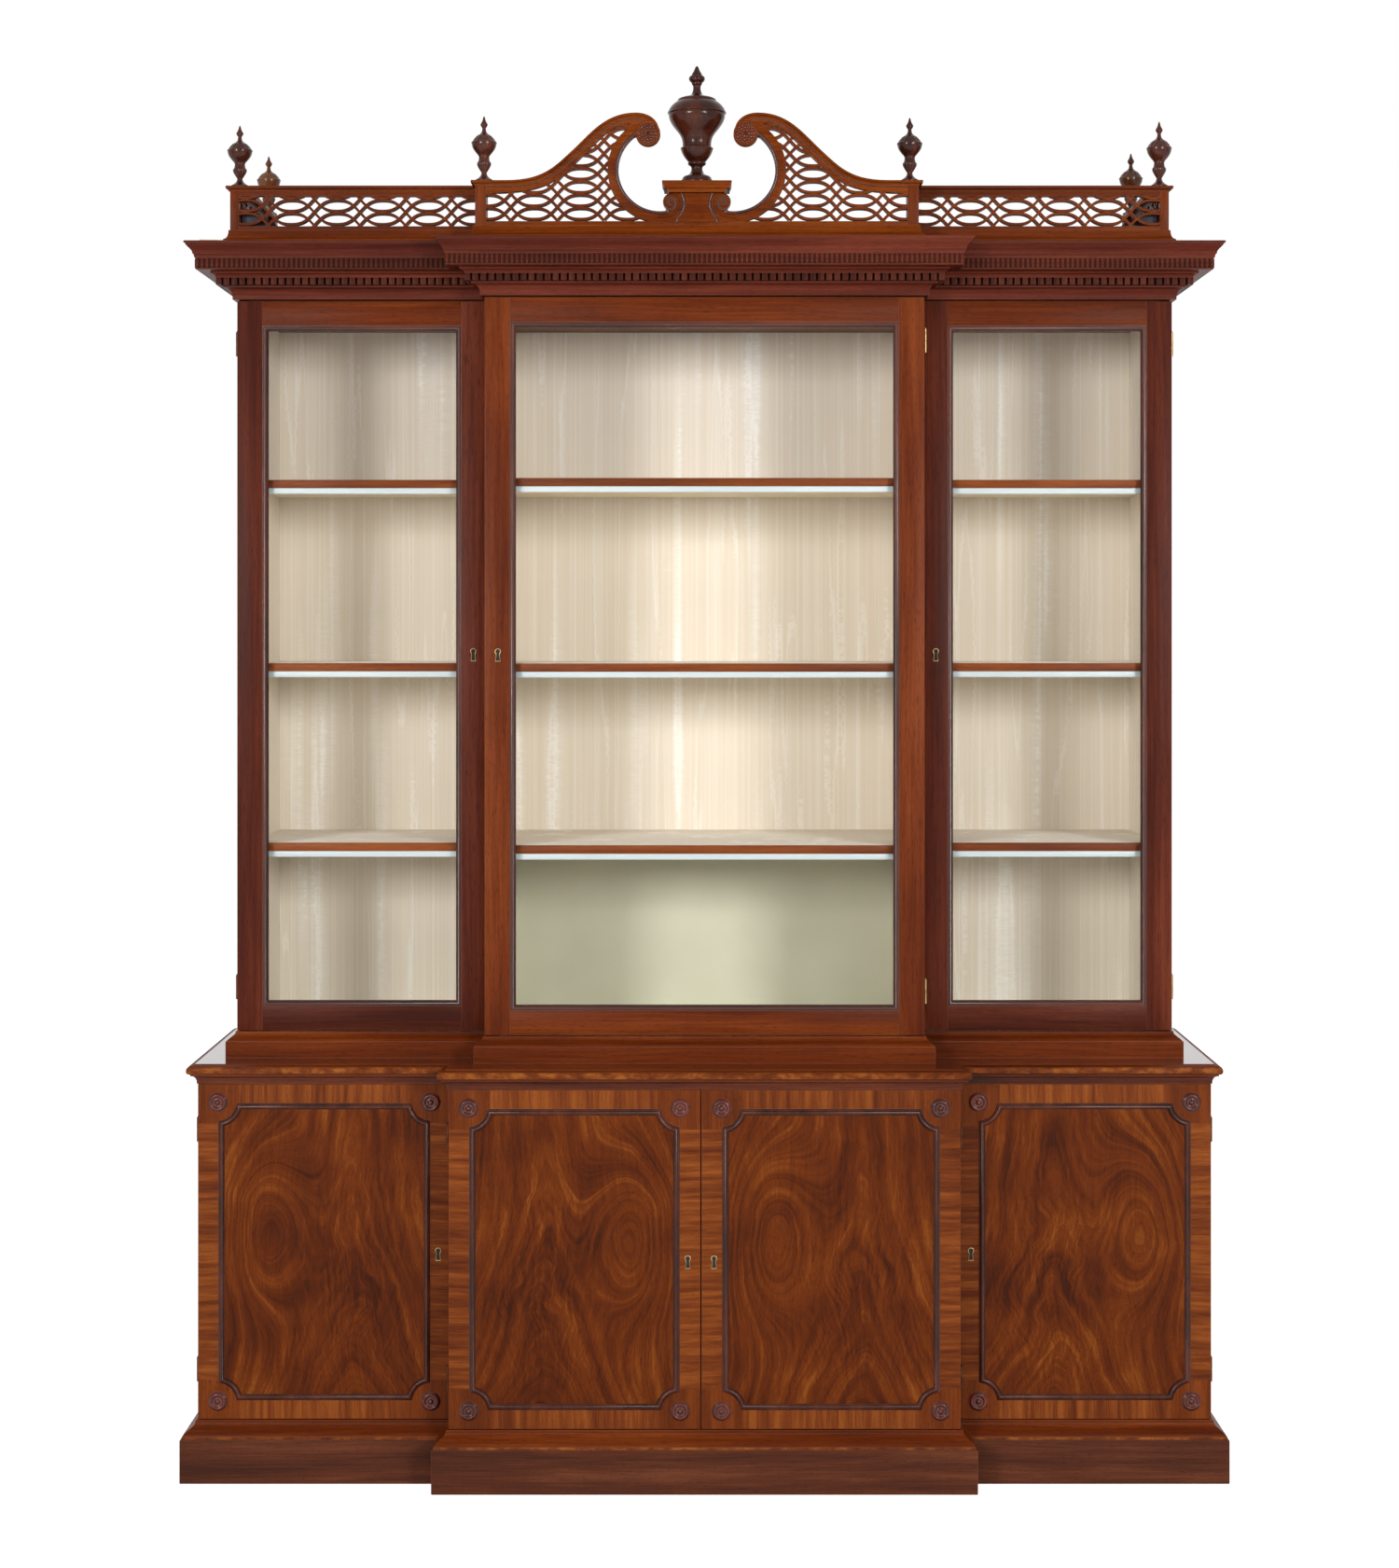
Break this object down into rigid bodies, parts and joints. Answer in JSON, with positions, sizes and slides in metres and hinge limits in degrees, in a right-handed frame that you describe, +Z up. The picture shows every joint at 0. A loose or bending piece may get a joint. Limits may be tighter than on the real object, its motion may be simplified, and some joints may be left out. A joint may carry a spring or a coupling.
{
  "type": "breakfront display cabinet",
  "caption": "Mahogany breakfront bookcase: glazed upper doors over panelled cupboards, dentil cornice, pierced gallery, swan-neck pediment with an urn.",
  "frame": {"origin": "on the floor, centred across the width and the depth of the whole piece", "axes": "+X to the right as seen from the front, +Y to the back, +Z up"},
  "size_m": [2.037, 0.62, 2.7644],
  "materials": {
    "mahogany": "polished, red-brown straight grain",
    "dark_mahogany": "polished, dark red-brown",
    "flame_mahogany": "polished flame veneer with cross-banding",
    "carcase_wood": "plain waxed wood",
    "lined_board": "board lined with cream silk",
    "silk": "cream watered silk",
    "light_strip": "white diffuser",
    "glass": "clear sheet glass",
    "brass": "aged polished brass"
  },
  "bodies": {
    "root": {"plinth": "mahogany", "base_moulding": "mahogany", "lower_side_left": "mahogany", "lower_side_right": "mahogany", "lower_partition_left": "mahogany", "lower_partition_right": "mahogany", "lower_top_board": "mahogany", "surbase_moulding": "mahogany", "upper_side_left": "mahogany", "upper_side_right": "mahogany", "upper_partition_left": "mahogany", "upper_partition_right": "mahogany", "upper_top": "mahogany", "gallery_left": "mahogany", "gallery_right": "mahogany", "pediment": "mahogany", "urn_pedestal": "mahogany", "upper_shelf_left_1": "mahogany", "upper_shelf_left_2": "mahogany", "upper_shelf_left_3": "mahogany", "upper_shelf_centre_1": "mahogany", "upper_shelf_centre_2": "mahogany", "upper_shelf_centre_3": "mahogany", "upper_shelf_right_1": "mahogany", "upper_shelf_right_2": "mahogany", "upper_shelf_right_3": "mahogany", "waist_moulding": "dark_mahogany", "cornice": "dark_mahogany", "dentil_course": "dark_mahogany", "urn": "dark_mahogany", "finial_rear_left": "dark_mahogany", "finial_corner_left": "dark_mahogany", "finial_pediment_left": "dark_mahogany", "finial_pediment_right": "dark_mahogany", "finial_corner_right": "dark_mahogany", "finial_rear_right": "dark_mahogany", "lower_bottom": "carcase_wood", "lower_back": "carcase_wood", "lower_shelf_left": "carcase_wood", "lower_shelf_centre": "carcase_wood", "lower_shelf_right": "carcase_wood", "upper_bottom": "lined_board", "upper_back": "lined_board"},
    "upper_door_left": {"upper_door_left_frame": "mahogany", "upper_door_left_glass": "glass", "upper_door_left_escutcheon": "brass"},
    "upper_door_centre": {"upper_door_centre_frame": "mahogany", "upper_door_centre_glass": "glass", "upper_door_centre_escutcheon": "brass"},
    "upper_door_right": {"upper_door_right_frame": "mahogany", "upper_door_right_glass": "glass", "upper_door_right_escutcheon": "brass"},
    "lower_door_wing_left": {"lower_door_wing_left": "flame_mahogany", "lower_door_wing_left_escutcheon": "brass"},
    "lower_door_centre_left": {"lower_door_centre_left": "flame_mahogany", "lower_door_centre_left_escutcheon": "brass"},
    "lower_door_centre_right": {"lower_door_centre_right": "flame_mahogany", "lower_door_centre_right_escutcheon": "brass"},
    "lower_door_wing_right": {"lower_door_wing_right": "flame_mahogany", "lower_door_wing_right_escutcheon": "brass"}
  },
  "joints": [
    {"name": "upper_door_left_hinge", "type": "hinge", "parent": "root", "child": "upper_door_left", "pos_m": [-0.9298, -0.0922, 1.5855], "axis": [0, 0, -1], "range_deg": [0, 105]},
    {"name": "upper_door_centre_hinge", "type": "hinge", "parent": "root", "child": "upper_door_centre", "pos_m": [0.434, -0.1632, 1.5855], "axis": [0, 0, 1], "range_deg": [0, 105]},
    {"name": "upper_door_right_hinge", "type": "hinge", "parent": "root", "child": "upper_door_right", "pos_m": [0.9298, -0.0922, 1.5855], "axis": [0, 0, 1], "range_deg": [0, 105]},
    {"name": "lower_door_wing_left_hinge", "type": "hinge", "parent": "root", "child": "lower_door_wing_left", "pos_m": [-0.9912, -0.1862, 0.4445], "axis": [0, 0, -1], "range_deg": [0, 105]},
    {"name": "lower_door_centre_left_hinge", "type": "hinge", "parent": "root", "child": "lower_door_centre_left", "pos_m": [-0.4964, -0.2572, 0.4445], "axis": [0, 0, -1], "range_deg": [0, 105]},
    {"name": "lower_door_centre_right_hinge", "type": "hinge", "parent": "root", "child": "lower_door_centre_right", "pos_m": [0.4964, -0.2572, 0.4445], "axis": [0, 0, 1], "range_deg": [0, 105]},
    {"name": "lower_door_wing_right_hinge", "type": "hinge", "parent": "root", "child": "lower_door_wing_right", "pos_m": [0.9912, -0.1862, 0.4445], "axis": [0, 0, 1], "range_deg": [0, 105]}
  ]
}
